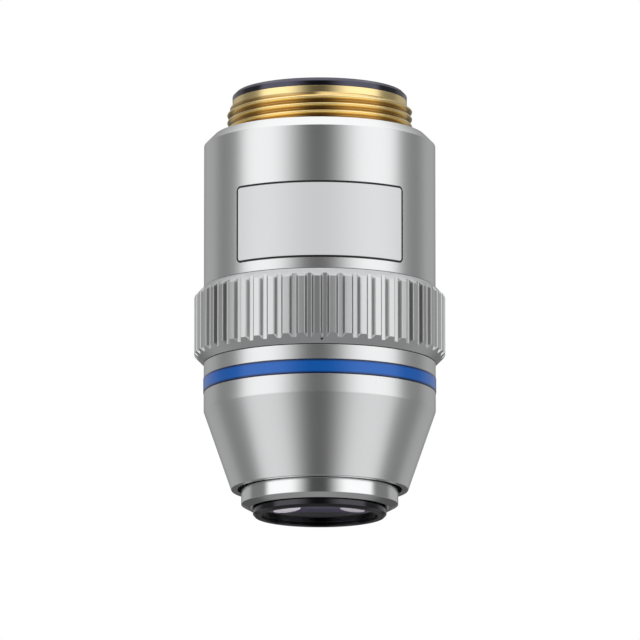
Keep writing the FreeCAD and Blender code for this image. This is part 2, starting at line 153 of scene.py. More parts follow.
def add(tree, kind, *values, **named):
    """Adds a node and fills its inputs, in their order or by their names, with _ for a space."""
    node = tree.nodes.new(kind)
    for socket, value in zip(node.inputs, values):
        join(tree, value, socket)
    for name, value in named.items():
        join(tree, value, node.inputs[name.replace("_", " ")])
    return node


def maths(tree, operation, *values):
    """Adds a Math node and returns its result."""
    node = add(tree, "ShaderNodeMath", *values)
    node.operation = operation
    return node.outputs[0]


def soft_step(tree, value, low, high, low_result=0.0, high_result=1.0):
    """Goes smoothly from one result to another while the value passes from low to high."""
    node = add(tree, "ShaderNodeMapRange", value, low, high, low_result, high_result)
    node.interpolation_type = "SMOOTHSTEP"
    return node.outputs[0]


def blend(tree, share, first, second):
    """Mixes two values: the first where the share is 0, the second where it is 1."""
    node = tree.nodes.new("ShaderNodeMix")
    for socket, value in zip(node.inputs[:1] + node.inputs[2:4], (share, first, second)):
        join(tree, value, socket)
    return node.outputs[0]


def hypotenuse(tree, across, along):
    """Length of the straight line over two distances at right angles."""
    across_square = maths(tree, "MULTIPLY", across, across)
    along_square = maths(tree, "MULTIPLY", along, along)
    return maths(tree, "SQRT", maths(tree, "ADD", across_square, along_square))


def combine(tree, x, y, z):
    """Makes a vector from three numbers."""
    return add(tree, "ShaderNodeCombineXYZ", x, y, z).outputs[0]


print("node helpers: join, add, maths, soft_step, blend, hypotenuse, combine")

# %% [markdown]
# Polished metal shows its surroundings, so the studio is the most important light here. It is painted into
# the world by direction. Two angles say where light comes from: its turn, sideways from the camera, and its
# rise above the horizon. Large lamps could do the same, but a painted world has no edges and adds no noise.

# %% Directions in the studio
world = bpy.data.worlds.new("studio")
bpy.context.scene.world = world
world.use_nodes = True
studio = world.node_tree
studio.nodes.clear()
direction = add(studio, "ShaderNodeSeparateXYZ", add(studio, "ShaderNodeTexCoord").outputs["Generated"])
towards_camera = maths(studio, "MULTIPLY", direction.outputs["Y"], -1.0)
signed_turn = maths(studio, "DEGREES", maths(studio, "ARCTAN2", direction.outputs["X"], towards_camera))
turn = maths(studio, "ABSOLUTE", signed_turn)
rise = maths(studio, "DEGREES", maths(studio, "ARCSINE", direction.outputs["Z"]))
print("directions ready in", len(studio.nodes), "nodes")

# %% [markdown]
# Two tall soft panels stand left and right of the camera, a little turned, with a dark gap between them that
# gives the chrome its dark middle. They are dimmer near the floor. Each pair of numbers is where a soft edge
# begins and where it ends, in degrees.

# %% Panels beside the camera
panel_light = 1.24
low_panel_share = 0.72
front_gap_light = 0.08
panel_tilt_deg = 2.0
panel_inner_edge = (8.0, 44.0)
panel_foot = (-28.0, 8.0)

tilted_turn = maths(studio, "ABSOLUTE", maths(studio, "ADD", signed_turn, panel_tilt_deg))
panels = soft_step(studio, tilted_turn, *panel_inner_edge, front_gap_light, panel_light)
panels = maths(studio, "MULTIPLY", panels, soft_step(studio, rise, *panel_foot, low_panel_share, 1.0))
print(f"two panels, strength {panel_light}")

# %% [markdown]
# Past the panels there is a dim side wall, then a brighter back wall that falls off again straight behind
# the lens, and below it a dark table top. These give the chrome its grey edges.

# %% Walls behind the lens
side_gap_light = 0.22
back_light = 0.47
back_gap_share = 0.3
table_light = 0.1
panel_outer_edge = (79.0, 90.0)
back_edge = (116.0, 128.0)
back_gap = (150.0, 178.0)
table_side = (138.0, 156.0)
table_top = (-4.0, -8.0)

behind = soft_step(studio, turn, *back_edge, side_gap_light, back_light)
behind = maths(studio, "MULTIPLY", behind, soft_step(studio, turn, *back_gap, 1.0, back_gap_share))
dark_table = maths(
    studio,
    "MULTIPLY",
    soft_step(studio, turn, *table_side),
    soft_step(studio, rise, *table_top),
)
behind = blend(studio, dark_table, behind, table_light)
walls = blend(studio, soft_step(studio, turn, *panel_outer_edge), panels, behind)
print(f"back wall, strength {back_light}")

# %% [markdown]
# A bright ceiling and a dim ground close the studio. Camera rays see plain white instead of all this, so the
# background stays clean.

# %% Ceiling, ground and background
ceiling_light = 1.28
ground_light = 0.3
ceiling_edge = (38.0, 55.0)
ground_edge = (-34.0, -50.0)

upper = blend(studio, soft_step(studio, rise, *ceiling_edge), walls, ceiling_light)
light = blend(studio, soft_step(studio, rise, *ground_edge), upper, ground_light)
seen_by_camera = add(studio, "ShaderNodeLightPath").outputs["Is Camera Ray"]
strength = blend(studio, seen_by_camera, light, 1.0)
background = add(studio, "ShaderNodeBackground", Color=(1.0, 1.0, 1.0, 1.0), Strength=strength)
add(studio, "ShaderNodeOutputWorld", Surface=background.outputs[0])
print("studio painted in", len(studio.nodes), "nodes")

# %% [markdown]
# An effect that several finishes share becomes a node group with named inputs, and each finish places it
# with its own values. These helpers start a group, and split a position into its coordinates and its
# distance from the lens's axis. Every noise has the scale 1, so its patches are about one unit of its vector
# wide.

# %% Group helpers


def start_group(name, inputs, outputs):
    """New shader group with named number sockets; the first input is always a position."""
    group = bpy.data.node_groups.new(name, "ShaderNodeTree")
    group.interface.new_socket(name="Position", in_out="INPUT", socket_type="NodeSocketVector")
    for socket_name, value in inputs.items():
        socket = group.interface.new_socket(name=socket_name, in_out="INPUT", socket_type="NodeSocketFloat")
        socket.default_value = value
    for socket_name in outputs:
        group.interface.new_socket(name=socket_name, in_out="OUTPUT", socket_type="NodeSocketFloat")
    return group, group.nodes.new("NodeGroupInput"), group.nodes.new("NodeGroupOutput")


def split_position(tree, position):
    """X, Y, height and distance from the axis of a position socket."""
    x, y, z = add(tree, "ShaderNodeSeparateXYZ", position).outputs
    return x, y, z, hypotenuse(tree, x, y)


print("group helpers: start_group, split_position")

# %% [markdown]
# The first effect is turning grain, the fine rings that a lathe tool leaves round every part. Its noise
# changes fast with the height and with the distance from the axis, and hardly at all round the part, so it
# is drawn out into rings. The way round is given as a point on a small circle, which has no start and no
# end, so the rings close without a seam. That makes four inputs, which is why the noise has four dimensions.

# %% Turning grain


def make_turning_grain():
    """Height of fine rings round the axis."""
    group, entry, result = start_group("turning_grain", {"Spacing": 0.1 * MM, "Drift": 0.3}, ["Height"])
    spacing = entry.outputs["Spacing"]
    x, y, z, radius = split_position(group, entry.outputs["Position"])
    turn_rate = maths(group, "DIVIDE", entry.outputs["Drift"], radius)
    circle_x = maths(group, "MULTIPLY", x, turn_rate)
    circle_y = maths(group, "MULTIPLY", y, turn_rate)
    place = combine(group, circle_x, circle_y, maths(group, "DIVIDE", z, spacing))
    rings = add(group, "ShaderNodeTexNoise", Vector=place, Scale=1.0, Detail=3.0)
    rings.noise_dimensions = "4D"
    join(group, maths(group, "DIVIDE", radius, spacing), rings.inputs["W"])
    group.links.new(rings.outputs["Fac"], result.inputs["Height"])
    return group


turning_grain = make_turning_grain()
print("effect:", turning_grain.name)

# %% [markdown]
# The second effect is handling: faint, wide patches where fingers have dulled the gloss. It starts from a
# finish's own roughness and moves it up and down a little.

# %% Handling


def make_handling():
    """Roughness with faint, wide patches."""
    inputs = {"Patch Size": 5.0 * MM, "Roughness": 0.3, "Change": 0.05}
    group, entry, result = start_group("handling", inputs, ["Roughness"])
    size = entry.outputs["Patch Size"]
    sizes = combine(group, size, size, size)
    scaled = add(group, "ShaderNodeVectorMath", entry.outputs["Position"], sizes)
    scaled.operation = "DIVIDE"
    patches = add(group, "ShaderNodeTexNoise", Vector=scaled.outputs[0], Scale=1.0, Detail=5.0)
    patch = maths(group, "SUBTRACT", patches.outputs["Fac"], 0.5)
    patch = maths(group, "MULTIPLY", patch, entry.outputs["Change"])
    group.links.new(maths(group, "ADD", entry.outputs["Roughness"], patch), result.inputs["Roughness"])
    return group


handling = make_handling()
print("effect:", handling.name)

# %% [markdown]
# The last two effects are masks, shares between 0 and 1. One goes by the distance from the axis, for a
# finish that changes between the root and the crest of a thread. The other goes by the height, with two soft
# edges.

# %% Masks


def make_radius_mask():
    """Share that goes from 0 at the inner radius to 1 at the outer radius."""
    group, entry, result = start_group("radius_mask", {"Inner": 0.0, "Outer": 1.0}, ["Share"])
    radius = split_position(group, entry.outputs["Position"])[3]
    share = soft_step(group, radius, entry.outputs["Inner"], entry.outputs["Outer"])
    group.links.new(share, result.inputs["Share"])
    return group


def make_height_mask():
    """Share that is 1 between two heights and falls off within the edge's width."""
    inputs = {"Low": 0.0, "High": 1.0, "Edge": 0.1 * MM}
    group, entry, result = start_group("height_mask", inputs, ["Share"])
    z = split_position(group, entry.outputs["Position"])[2]
    low, high, edge = (entry.outputs[name] for name in inputs)
    rising = soft_step(group, z, low, maths(group, "ADD", low, edge))
    falling = soft_step(group, z, maths(group, "SUBTRACT", high, edge), high, 1.0, 0.0)
    group.links.new(maths(group, "MULTIPLY", rising, falling), result.inputs["Share"])
    return group


radius_mask = make_radius_mask()
height_mask = make_height_mask()
print("effects:", radius_mask.name, "and", height_mask.name)

# %% [markdown]
# Every finish starts from the Principled shader. This class holds one while it is built, and places shared
# effects with the finish's own values. A bump's distance is a real depth, a thousandth of a millimetre or so
# for a turned surface, so the grain catches the light without denting the form.

# %% Material helpers
finishes = {}


class Finish:
    """A material that is being built: its tree, its shader and its position socket."""

    def __init__(self, name, **settings):
        self.material = bpy.data.materials.new(name)
        self.material.use_nodes = True
        self.tree = self.material.node_tree
        self.shader = self.tree.nodes["Principled BSDF"]
        self.position = add(self.tree, "ShaderNodeTexCoord").outputs["Object"]
        for socket_name, value in settings.items():
            self.shader.inputs[socket_name.replace("_", " ")].default_value = value

    def effect(self, group, **values):
        """Places a shared effect and returns its result."""
        node = self.tree.nodes.new("ShaderNodeGroup")
        node.node_tree = group
        self.tree.links.new(self.position, node.inputs["Position"])
        for socket_name, value in values.items():
            join(self.tree, value, node.inputs[socket_name.replace("_", " ")])
        return node.outputs[0]

    def mix(self, share, first, second):
        """Mixes two colours by a share, with the sockets that the Mix node keeps for colours."""
        node = self.tree.nodes.new("ShaderNodeMix")
        node.data_type = "RGBA"
        join(self.tree, share, node.inputs[0])
        join(self.tree, first, node.inputs[6])
        join(self.tree, second, node.inputs[7])
        return node.outputs[2]

    def bump(self, height, depth):
        """Feeds a height into the shader's normal, with its depth in metres."""
        self.feed("Normal", add(self.tree, "ShaderNodeBump", Distance=depth, Height=height).outputs[0])

    def feed(self, socket_name, source):
        """Links a result to one of the shader's inputs."""
        self.tree.links.new(source, self.shader.inputs[socket_name])

    def turned(self, roughness, change, spacing, depth):
        """Adds turning grain and handling, which every machined surface has."""
        self.feed("Roughness", self.effect(handling, Roughness=roughness, Change=change))
        self.bump(self.effect(turning_grain, Spacing=spacing), depth)

    def keep(self, slot):
        """Stores the material under the slot that asks for it."""
        finishes[slot] = self.material
        print("finish:", slot)


# %% [markdown]
# The body is satin chrome: a metal that mirrors the studio, softened by fine turning. Lathe grain spreads a
# highlight round the part more than along it, which is what the Anisotropic value does. The nose is the same
# metal with a closer polish.

# %% Chrome


def chrome(slot, tone, stretch, **turning):
    """Turned chrome of a tone, with highlights that are stretched round the part."""
    colour = (tone, tone + 0.005, tone + 0.01, 1.0)
    metal = Finish(slot, Base_Color=colour, Metallic=1.0, Anisotropic=stretch)
    metal.turned(**turning)
    metal.keep(slot)


chrome("satin_chrome", 0.74, 0.5, roughness=0.27, change=0.02, spacing=0.35 * MM, depth=0.0007 * MM)
chrome("bright_chrome", 0.78, 0.4, roughness=0.15, change=0.03, spacing=0.3 * MM, depth=0.0006 * MM)

# %% [markdown]
# The flutes of the collar are milled one by one, so their grain runs along the axis and not round it. One
# more effect gives that upright grain: its noise changes fast with the angle round the axis and slowly with
# height.

# %% Milling grain


def make_milling_grain():
    """Height of fine upright lines round the axis."""
    inputs = {"Lines": 300.0, "Stretch": 8.0 * MM}
    group, entry, result = start_group("milling_grain", inputs, ["Height"])
    x, y, z, _ = split_position(group, entry.outputs["Position"])
    across = maths(group, "MULTIPLY", maths(group, "ARCTAN2", x, y), entry.outputs["Lines"])
    along = maths(group, "DIVIDE", z, entry.outputs["Stretch"])
    place = combine(group, across, along, 0.0)
    lines = add(group, "ShaderNodeTexNoise", Vector=place, Scale=1.0, Detail=2.0)
    group.links.new(lines.outputs["Fac"], result.inputs["Height"])
    return group


milling_grain = make_milling_grain()
print("effect:", milling_grain.name)

# %% [markdown]
# The flanks of the flutes are painted a darker grey than the lands and floors, as painted shade on the
# sides of the grooves. They are found by their radius, halfway into the flute, and only between the bevels,
# because the flutes run out through those.

# %% Milled chrome of the collar
flute_depth = 0.4
flute_margin = 0.9
flute_fade = 0.2


def milled_chrome():
    milled = Finish("milled_chrome", Metallic=1.0)
    floor = (collar_radius - flute_depth) * MM
    outward = milled.effect(radius_mask, Inner=floor, Outer=collar_radius * MM)
    off_middle = maths(milled.tree, "ABSOLUTE", maths(milled.tree, "SUBTRACT", outward, 0.5))
    flank = soft_step(milled.tree, off_middle, 0.5, 0.3)
    low = (bottom("fluted_collar") + flute_margin) * MM
    high = (top("fluted_collar") - flute_margin) * MM
    fluted = milled.effect(height_mask, Low=low, High=high, Edge=flute_fade * MM)
    painted_flank_shade = maths(milled.tree, "MULTIPLY", flank, fluted)
    # Painted shade: the flanks get the dark grey, and the lands and floors get the light grey.
    milled.feed("Base Color", milled.mix(painted_flank_shade, (0.68, 0.685, 0.69, 1.0), (0.33, 0.33, 0.335, 1.0)))
    milled.feed("Roughness", milled.effect(handling, Roughness=0.36, Change=0.05))
    milled.bump(milled.effect(milling_grain), 0.003 * MM)
    milled.keep("milled_chrome")


milled_chrome()

# %% [markdown]
# The rear barrel is bare turned brass. Its thread keeps the brass colour on the crests, and the roots are
# painted dark brown, as painted shade in the grooves between the crests. The colour follows the distance
# from the axis.

# %% Brass
thread_radius = 10.16
thread_depth = 0.46
thread_top = 3.13
crest_colour_depth = 0.15
root_shade_low = -0.3
root_shade_high = thread_top + 0.02
root_shade_fade = 0.1


def turned_brass():
    brass = Finish("turned_brass", Metallic=1.0, Anisotropic=0.3)
    root = (thread_radius - thread_depth) * MM
    crest_share = brass.effect(radius_mask, Inner=root, Outer=(thread_radius - crest_colour_depth) * MM)
    threaded = brass.effect(height_mask, Low=root_shade_low * MM, High=root_shade_high * MM, Edge=root_shade_fade * MM)
    # Painted shade: the threaded stretch is dark brown in the roots and brass coloured on the crests.
    painted_root_shade = maths(brass.tree, "MULTIPLY", threaded, maths(brass.tree, "SUBTRACT", 1.0, crest_share))
    brass.feed("Base Color", brass.mix(painted_root_shade, (0.96, 0.76, 0.37, 1.0), (0.46, 0.28, 0.09, 1.0)))
    brass.turned(roughness=0.22, change=0.08, spacing=0.22 * MM, depth=0.0025 * MM)
    brass.keep("turned_brass")


turned_brass()

# %% [markdown]
# The rings at both ends are black anodised metal. Anodising is a thin dyed oxide, so the surface is near
# black. The rear ring has a faint violet sheen, and the front ring is plainer and a little rougher.

# %% Black anodising


def black_anodised(slot, base_colour, roughness):
    black = Finish(slot, Base_Color=base_colour, Metallic=1.0)
    black.turned(roughness=roughness, change=0.04, spacing=0.3 * MM, depth=0.0006 * MM)
    black.keep(slot)


black_anodised("black_anodised", (0.08, 0.078, 0.105, 1.0), 0.12)
black_anodised("black_front", (0.06, 0.06, 0.066, 1.0), 0.16)

# %% [markdown]
# The colour band is enamel poured into a groove and cured: smooth and glossy. A clear coat over a blue base
# gives the gloss, and the height mask paints both edges near black, as painted shade where the band meets
# the groove's edges.

# %% Blue enamel
edge_shade_width = 0.34


def blue_enamel():
    enamel = Finish("blue_enamel", Metallic=0.2, Coat_Weight=0.25, Coat_Roughness=0.15)
    low = bottom("colour_band") * MM
    high = top("colour_band") * MM
    middle = enamel.effect(height_mask, Low=low, High=high, Edge=edge_shade_width * MM)
    # Painted shade: near black along both edges of the band, and bright blue in its middle.
    enamel.feed("Base Color", enamel.mix(middle, (0.0, 0.006, 0.045, 1.0), (0.003, 0.145, 0.62, 1.0)))
    enamel.feed("Roughness", enamel.effect(handling, Roughness=0.3, Change=0.06))
    enamel.keep("blue_enamel")


blue_enamel()

# %% [markdown]
# The name field is a thin pale foil with a printed dark rim, and it is blank inside. The rim is painted by
# the material, which needs the distance to the edge of a rounded rectangle, measured round the sleeve and
# along it. This effect works that distance out.

# %% Distance from the name field's edge


def make_field_distance():
    """Distance inwards from the border of the rounded field."""
    inputs = {"Radius": 1.0, "Half Width": 1.0, "Low": 0.0, "High": 1.0, "Corner": 0.1}
    group, entry, result = start_group("field_distance", inputs, ["Distance"])
    wrap_radius, half_width, low, high, corner = (entry.outputs[name] for name in inputs)
    x, y, z, _ = split_position(group, entry.outputs["Position"])
    angle = maths(group, "ARCTAN2", x, maths(group, "MULTIPLY", y, -1.0))
    middle = maths(group, "MULTIPLY", maths(group, "ADD", low, high), 0.5)
    half_height = maths(group, "MULTIPLY", maths(group, "SUBTRACT", high, low), 0.5)

    def beyond_corner(value, half):
        """How far a coordinate lies past the middle of the corner's rounding."""
        inner_half = maths(group, "SUBTRACT", half, corner)
        return maths(group, "SUBTRACT", maths(group, "ABSOLUTE", value), inner_half)

    side = beyond_corner(maths(group, "SUBTRACT", z, middle), half_height)
    end = beyond_corner(maths(group, "MULTIPLY", angle, wrap_radius), half_width)
    side_out = maths(group, "MAXIMUM", side, 0.0)
    end_out = maths(group, "MAXIMUM", end, 0.0)
    inside = maths(group, "MINIMUM", maths(group, "MAXIMUM", side, end), 0.0)
    reach = maths(group, "ADD", hypotenuse(group, side_out, end_out), inside)
    group.links.new(maths(group, "SUBTRACT", corner, reach), result.inputs["Distance"])
    return group


field_distance = make_field_distance()
print("effect:", field_distance.name)

# %% [markdown]
# The foil itself is part metal, part paint, as a matt silver label is. It is black where the distance to its
# edge is smaller than the rim's width.

# %% Name field
field_low, field_high = bottom("name_field"), top("name_field")
field_half_width = sleeve_radius * math.asin(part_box("name_field")[1].x / MM / sleeve_radius)
field_corner = 0.55
field_rim = 0.23
rim_blur = 0.02
foil_metal = 0.36


def name_field():
    foil = Finish("name_field")
    distance = foil.effect(
        field_distance,
        Radius=sleeve_radius * MM,
        Half_Width=field_half_width * MM,
        Low=field_low * MM,
        High=field_high * MM,
        Corner=field_corner * MM,
    )
    pale = soft_step(foil.tree, distance, (field_rim - rim_blur) * MM, (field_rim + rim_blur) * MM)
    foil.feed("Base Color", foil.mix(pale, (0.004, 0.004, 0.005, 1.0), (0.95, 0.96, 0.97, 1.0)))
    foil.feed("Metallic", maths(foil.tree, "MULTIPLY", pale, foil_metal))
    foil.feed("Roughness", foil.effect(handling, Roughness=0.55, Change=0.06))
    foil.keep("name_field")


name_field()

# %% [markdown]
# Glass lets light through and bends it, so the barrel behind it shows dark. The first and the last lens also
# carry an anti-reflection coating, a film thinner than a wave of light: the shader's Thin Film values tint
# what little it still reflects. The inner lenses are plain clear glass.

# %% Glass
glass_ior = 1.52
coating_ior = 1.38
coating_nanometres = 145.0


def glass(slot, film):
    clear = Finish(slot, Base_Color=(0.93, 0.94, 0.95, 1.0), IOR=glass_ior, Transmission_Weight=1.0)
    clear.shader.inputs["Thin Film Thickness"].default_value = film
    clear.shader.inputs["Thin Film IOR"].default_value = coating_ior
    clear.feed("Roughness", clear.effect(handling, Patch_Size=2.0 * MM, Roughness=0.015, Change=0.02))
    clear.keep(slot)


glass("coated_glass", coating_nanometres)
glass("optical_glass", 0.0)

# %% [markdown]
# The pins and the spring inside are bare steel, each with its own tone and roughness.

# %% Steel


def steel(slot, tone, roughness):
    metal = Finish(slot, Base_Color=(tone, tone, tone * 1.02, 1.0), Metallic=1.0)
    metal.turned(roughness=roughness, change=0.06, spacing=0.08 * MM, depth=0.0006 * MM)
    metal.keep(slot)


steel("spring_steel", 0.55, 0.3)
steel("pin_steel", 0.6, 0.2)

# %% [markdown]
# Most pieces of a lens come off a lathe, and each starts as an outline: a list of corners with their radius,
# their height and how much they are rounded. A real edge is never knife sharp. The small rounding catches a
# bright line, and that line is what makes metal look machined. Each corner becomes a short smooth curve,
# with one more point on either side that holds the flat stretches flat when the mesh is shaded smooth.

# %% Rounded outlines
curve_steps = 4
support_share = 0.5
longest_cut = 0.45
straight_half_angle = math.radians(89.5)


def rounded(outline, closed=True):
    """Points of an outline whose corners (x, y, rounding) are replaced by short curves."""
    points = []
    count = len(outline)
    for index, (x, y, rounding) in enumerate(outline):
        corner = Vector((x, y))
        at_end = not closed and index in (0, count - 1)
        if rounding == 0 or at_end:
            points.append(corner)
            continue
        before = Vector(outline[index - 1][:2]) - corner
        after = Vector(outline[(index + 1) % count][:2]) - corner
        half_angle = before.angle(after) / 2
        if half_angle > straight_half_angle:
            points.append(corner)
            continue
        cut = rounding / math.tan(half_angle)
        cut = min(cut, before.length * longest_cut, after.length * longest_cut)
        first = corner + before.normalized() * cut
        last = corner + after.normalized() * cut
        if before.length > cut * 3:
            points.append(first + before.normalized() * cut * support_share)
        for step in range(curve_steps + 1):
            share = step / curve_steps
            near = first.lerp(corner, share)
            far = corner.lerp(last, share)
            points.append(near.lerp(far, share))
        if after.length > cut * 3:
            points.append(last + after.normalized() * cut * support_share)
    return points


print("a rounded corner has", curve_steps + 1, "points")

# %% [markdown]
# An outline becomes a mesh by swinging it round the axis in small steps, and joining each column of points
# to the next. The same loft also serves for pieces that are not fully round.

# %% Lofts
segments = 288


def loft(columns, closed):
    """Mesh through columns of points; each column is a closed loop, and so is their row if closed."""
    mesh = bmesh.new()
    rows = [[mesh.verts.new(point) for point in column] for column in columns]
    pairs = list(zip(rows, rows[1:]))
    if closed:
        pairs.append((rows[-1], rows[0]))
    for left, right in pairs:
        for index in range(len(left)):
            following = (index + 1) % len(left)
            mesh.faces.new((left[index], right[index], right[following], left[following]))
    if not closed:
        mesh.faces.new(rows[0])
        mesh.faces.new(rows[-1])
    return mesh


def swing(points, angle):
    """Places (radius, height) points, in millimetres, at an angle round the axis, in metres."""
    return [Vector((x * math.cos(angle), x * math.sin(angle), y)) * MM for x, y in points]


print("one turn has", segments, "columns")

# %% [markdown]
# A finished piece has no double points, faces that look outwards, and smooth shading that stops at sharp
# edges. It then rides on the body that carries it, and stands for the plain solid of the engineering model.

# %% Finishing helpers
crease_deg = 35.0


def finish_piece(name, mesh, slot, sharp_deg=crease_deg):
    """Makes an object from a bmesh: doubles merged, faces outwards, smooth, with its material."""
    bmesh.ops.remove_doubles(mesh, verts=mesh.verts, dist=1e-8)
    bmesh.ops.recalc_face_normals(mesh, faces=mesh.faces)
    data = bpy.data.meshes.new(name)
    mesh.to_mesh(data)
    mesh.free()
    data.shade_smooth()
    data.set_sharp_from_angle(angle=math.radians(sharp_deg))
    data.materials.append(finishes[slot])
    piece = bpy.data.objects.new(name, data)
    bpy.context.scene.collection.objects.link(piece)
    return piece


def turn_piece(name, outline, slot):
    """Turns an outline round the axis."""
    profile = rounded(outline)
    columns = [swing(profile, math.tau * index / segments) for index in range(segments)]
    return finish_piece(name, loft(columns, closed=True), slot)


def settle(piece, body, slot, *nodes):
    """Rides a finished piece on its body and lets it stand for its nodes."""
    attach(piece, body)
    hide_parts(*nodes)
    print(f"{piece.name}: {len(piece.data.polygons)} faces on {body}")


# %% [markdown]
# Slots and holes are cut with a Boolean modifier, as a mill would cut them after the lathe. The modifier is
# baked at once into a plain mesh, so nothing live is left on the piece. A cutter runs past the wall that it
# cuts, so that no thin skin stays.

# %% Cutting helpers
overrun = 1.0


def bake(piece):
    """Replaces an object's mesh by the result of its modifiers, and removes them."""
    view = bpy.context.evaluated_depsgraph_get()
    result = bpy.data.meshes.new_from_object(piece.evaluated_get(view))
    piece.modifiers.clear()
    piece.data = result
    result.name = piece.name


def block(size, place):
    """Bmesh of a box with its size and its centre in millimetres."""
    mesh = bmesh.new()
    bmesh.ops.create_cube(mesh, size=1.0)
    for vertex in mesh.verts:
        corner = [share * length + middle for share, length, middle in zip(vertex.co, size, place)]
        vertex.co = Vector(corner) * MM
    return mesh


def mill(piece, *cutters):
    """Cuts bmesh shapes out of a piece."""
    for cutter in cutters:
        tool = finish_piece("cutter", cutter, "pin_steel")
        cut = piece.modifiers.new("cut", "BOOLEAN")
        cut.operation = "DIFFERENCE"
        cut.solver = "EXACT"
        cut.object = tool
        bake(piece)
        bpy.data.objects.remove(tool)
    piece.data.shade_smooth()
    piece.data.set_sharp_from_angle(angle=math.radians(crease_deg))


print(f"a cutter runs {overrun} mm past the wall")

# %% [markdown]
# A shape that follows a rule is left to Geometry Nodes. Every tree starts with the same kind of named
# inputs, and ends in Realize Instances and Set Material, so plain faces with their finish come out. An input
# is set by its socket's identifier, and the result is baked like a cut.

# %% Geometry Nodes helpers


def start_tree(name, sizes, counts=()):
    """New geometry tree with a geometry, named numbers and a material as its inputs."""
    tree = bpy.data.node_groups.new(name, "GeometryNodeTree")
    tree.interface.new_socket(name="Geometry", in_out="INPUT", socket_type="NodeSocketGeometry")
    for count in counts:
        tree.interface.new_socket(name=count, in_out="INPUT", socket_type="NodeSocketInt")
    for size in sizes:
        tree.interface.new_socket(name=size, in_out="INPUT", socket_type="NodeSocketFloat")
    tree.interface.new_socket(name="Material", in_out="INPUT", socket_type="NodeSocketMaterial")
    tree.interface.new_socket(name="Geometry", in_out="OUTPUT", socket_type="NodeSocketGeometry")
    return tree, tree.nodes.new("NodeGroupInput").outputs


def move_points(tree, geometry, x, y, z):
    """Puts every point of a geometry at new coordinates."""
    place = combine(tree, x, y, z)
    return add(tree, "GeometryNodeSetPosition", Geometry=geometry, Position=place).outputs[0]


def close_tree(tree, geometry, material):
    """Ends a tree in Realize Instances and Set Material."""
    plain = add(tree, "GeometryNodeRealizeInstances", geometry).outputs[0]
    painted = add(tree, "GeometryNodeSetMaterial", Geometry=plain, Material=material).outputs[0]
    add(tree, "NodeGroupOutput", painted)


def grow(piece, tree, **values):
    """Runs a geometry tree on a piece with its inputs set, and bakes the result."""
    modifier = piece.modifiers.new(tree.name, "NODES")
    modifier.node_group = tree
    for item in tree.interface.items_tree:
        key = item.name.lower().replace(" ", "_")
        if item.in_out == "INPUT" and key in values:
            modifier[item.identifier] = values[key]
    bake(piece)
    print(f"{tree.name}: {len(piece.data.polygons)} faces")


print("tree helpers: start_tree, move_points, close_tree, grow")

# %% [markdown]
# The rear ring closes the barrel. It has a bevelled top, and two slots in which a spanner turns it.

# %% Rear ring
ring_low, ring_top = bottom("rear_ring"), top("rear_ring")
ring_radius = outer_radius("rear_ring")
relief_top = top("main_barrel")
ring_bevel = 0.4
ring_neck_radius = 8.29
ring_opening = 6.5
slot_width = 1.0
slot_depth = 0.45

rear_ring = turn_piece("rear_ring_turned", [
    (ring_opening, ring_low, 0.05),
    (ring_neck_radius, ring_low, 0.05),
    (ring_neck_radius, relief_top, 0.0),
    (ring_radius, relief_top, 0.04),
    (ring_radius, ring_top - ring_bevel, 0.12),
    (ring_radius - ring_bevel, ring_top, 0.12),
    (ring_opening, ring_top, 0.1),
], "black_anodised")
mill(rear_ring, block((4 * ring_radius, slot_width, 2 * slot_depth), (0.0, 0.0, ring_top)))
settle(rear_ring, "root", "black_anodised", "rear_ring")

# %% [markdown]
# The main barrel carries the mounting thread. A thread is one groove that climbs round the barrel, so
# Geometry Nodes cut it: every point between the thread's two ends moves inwards by a cosine wave of its
# height and its angle, which gives soft crests and roots. The pitch is a little coarser than the 36 turns to
# the inch of a real objective thread, so that three crests show, as in the photograph.

# %% Helical thread
thread_pitch = 0.83
thread_phase = 0.62


def make_thread_tree():
    """Geometry nodes that cut a helical groove into the rows near the crest radius."""
    sizes = ("Pitch", "Depth", "Crest Radius", "Foot", "Head", "Phase")
    tree, entry = start_tree("helical_thread", sizes)
    pitch, depth, crest, foot, head, phase = (entry[name] for name in sizes)
    x, y, z, radius = split_position(tree, add(tree, "GeometryNodeInputPosition").outputs[0])
    turns = maths(tree, "DIVIDE", maths(tree, "ARCTAN2", y, x), math.tau)
    climb = maths(tree, "SUBTRACT", maths(tree, "DIVIDE", z, pitch), turns)
    wave = maths(tree, "COSINE", maths(tree, "MULTIPLY", maths(tree, "ADD", climb, phase), math.tau))
    half_depth = maths(tree, "DIVIDE", depth, 2.0)
    groove = maths(tree, "MULTIPLY", maths(tree, "SUBTRACT", 1.0, wave), half_depth)
    cut_radius = maths(tree, "MINIMUM", radius, maths(tree, "SUBTRACT", crest, groove))
    above = maths(tree, "GREATER_THAN", z, foot)
    below = maths(tree, "LESS_THAN", z, head)
    skin = maths(tree, "GREATER_THAN", radius, maths(tree, "SUBTRACT", crest, depth))
    threaded = maths(tree, "MULTIPLY", maths(tree, "MULTIPLY", above, below), skin)
    share = blend(tree, threaded, 1.0, maths(tree, "DIVIDE", cut_radius, radius))
    cut_x = maths(tree, "MULTIPLY", x, share)
    cut_y = maths(tree, "MULTIPLY", y, share)
    close_tree(tree, move_points(tree, entry["Geometry"], cut_x, cut_y, z), entry["Material"])
    return tree


print(f"thread: {thread_top / thread_pitch:.1f} turns, {thread_depth} mm deep")

# %% [markdown]
# Two openings go through the barrel's wall. The collar's drive pin swings and slides in a wide window, and
# the pin that keeps the nose from turning sits in a round hole. Both are hidden by the collar and the
# sleeves.

# %% Cutters for the barrel
barrel_bore = 9.95
pin_height = (top("drive_pin") + bottom("drive_pin")) / 2
pin_radius = (top("drive_pin") - bottom("drive_pin")) / 2
pin_play = 0.1
nose_travel = 2.0
cam_turn = math.radians(60.0)
window_steps = 48
hole_sides = 48
hole_length = 4.0


